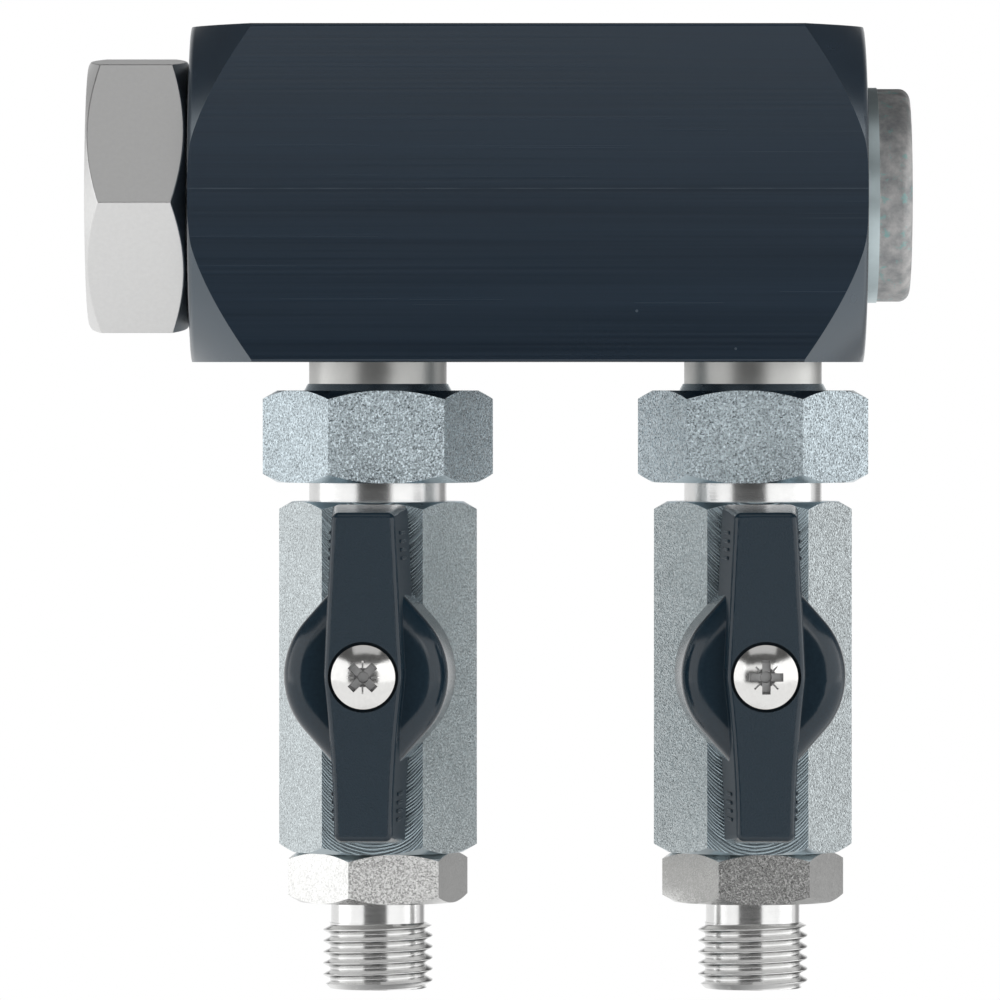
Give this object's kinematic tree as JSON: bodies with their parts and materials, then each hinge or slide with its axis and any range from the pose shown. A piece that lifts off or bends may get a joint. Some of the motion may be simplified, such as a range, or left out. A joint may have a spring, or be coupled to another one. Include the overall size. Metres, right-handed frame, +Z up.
{
  "type": "instrument valve manifold",
  "caption": "Square black distribution block with a union nut inlet and a blanking plug, feeding hanging mini ball valves with wing levers and male threaded outlets.",
  "frame": {"origin": "centre of the inlet's sealing face, inside the union nut", "axes": "+X from the inlet along the block to the blanking plug, -Y towards the levers, +Z up; the outlets point down"},
  "size_m": [0.0983, 0.0475, 0.1151],
  "materials": {
    "black_anodised": "black hard-anodised drawn bar, fine lengthwise lines",
    "nickel_plate": "bright nickel plate over brass",
    "zinc_plate": "zinc plate, lightly mottled",
    "washer_metal": "plain bonded washer",
    "turned_steel": "smooth turned metal",
    "blasted_zinc": "fine blasted finish, light blue-grey",
    "blasted_body": "fine blasted sides, milled front flat",
    "polished_ball": "polished hard chrome",
    "seat_plastic": "white fluoropolymer",
    "seal_fibre": "pale flat seal",
    "seal_rubber": "black rubber",
    "stem_brass": "turned brass",
    "lever_plastic": "black moulded plastic, glossy hub, textured grip",
    "screw_zinc": "bright zinc plate"
  },
  "bodies": {
    "manifold": {"manifold_block": "black_anodised", "inlet_tail": "nickel_plate", "inlet_seal": "seal_fibre", "end_plug": "zinc_plate", "end_plug_washer": "washer_metal", "left_branch_tail": "turned_steel", "left_union_nut": "blasted_zinc", "left_union_seal": "seal_fibre", "left_valve_body": "blasted_body", "left_upper_seat": "seat_plastic", "left_lower_seat": "seat_plastic", "left_seat_retainer": "nickel_plate", "left_stem_washer": "seat_plastic", "left_outlet_seal": "seal_fibre", "left_outlet_nipple": "nickel_plate", "right_branch_tail": "turned_steel", "right_union_nut": "blasted_zinc", "right_union_seal": "seal_fibre", "right_valve_body": "blasted_body", "right_upper_seat": "seat_plastic", "right_lower_seat": "seat_plastic", "right_seat_retainer": "nickel_plate", "right_stem_washer": "seat_plastic", "right_outlet_seal": "seal_fibre", "right_outlet_nipple": "nickel_plate"},
    "inlet_nut": {"inlet_union_nut": "nickel_plate"},
    "left_valve_lever": {"left_ball": "polished_ball", "left_stem": "stem_brass", "left_stem_o_ring": "seal_rubber", "left_lever": "lever_plastic", "left_lever_screw": "screw_zinc"},
    "right_valve_lever": {"right_ball": "polished_ball", "right_stem": "stem_brass", "right_stem_o_ring": "seal_rubber", "right_lever": "lever_plastic", "right_lever_screw": "screw_zinc"}
  },
  "joints": [
    {"name": "inlet_nut_spin", "type": "hinge", "parent": "manifold", "child": "inlet_nut", "pos_m": [0, 0, 0], "axis": [1, 0, 0], "continuous": true},
    {"name": "left_lever_turn", "type": "hinge", "parent": "manifold", "child": "left_valve_lever", "pos_m": [0.028, 0, -0.057], "axis": [0.0541, 0.9985, 0], "range_deg": [0, 90]},
    {"name": "right_lever_turn", "type": "hinge", "parent": "manifold", "child": "right_valve_lever", "pos_m": [0.073, 0, -0.057], "axis": [-0.0332, 0.9995, 0], "range_deg": [0, 90]}
  ]
}
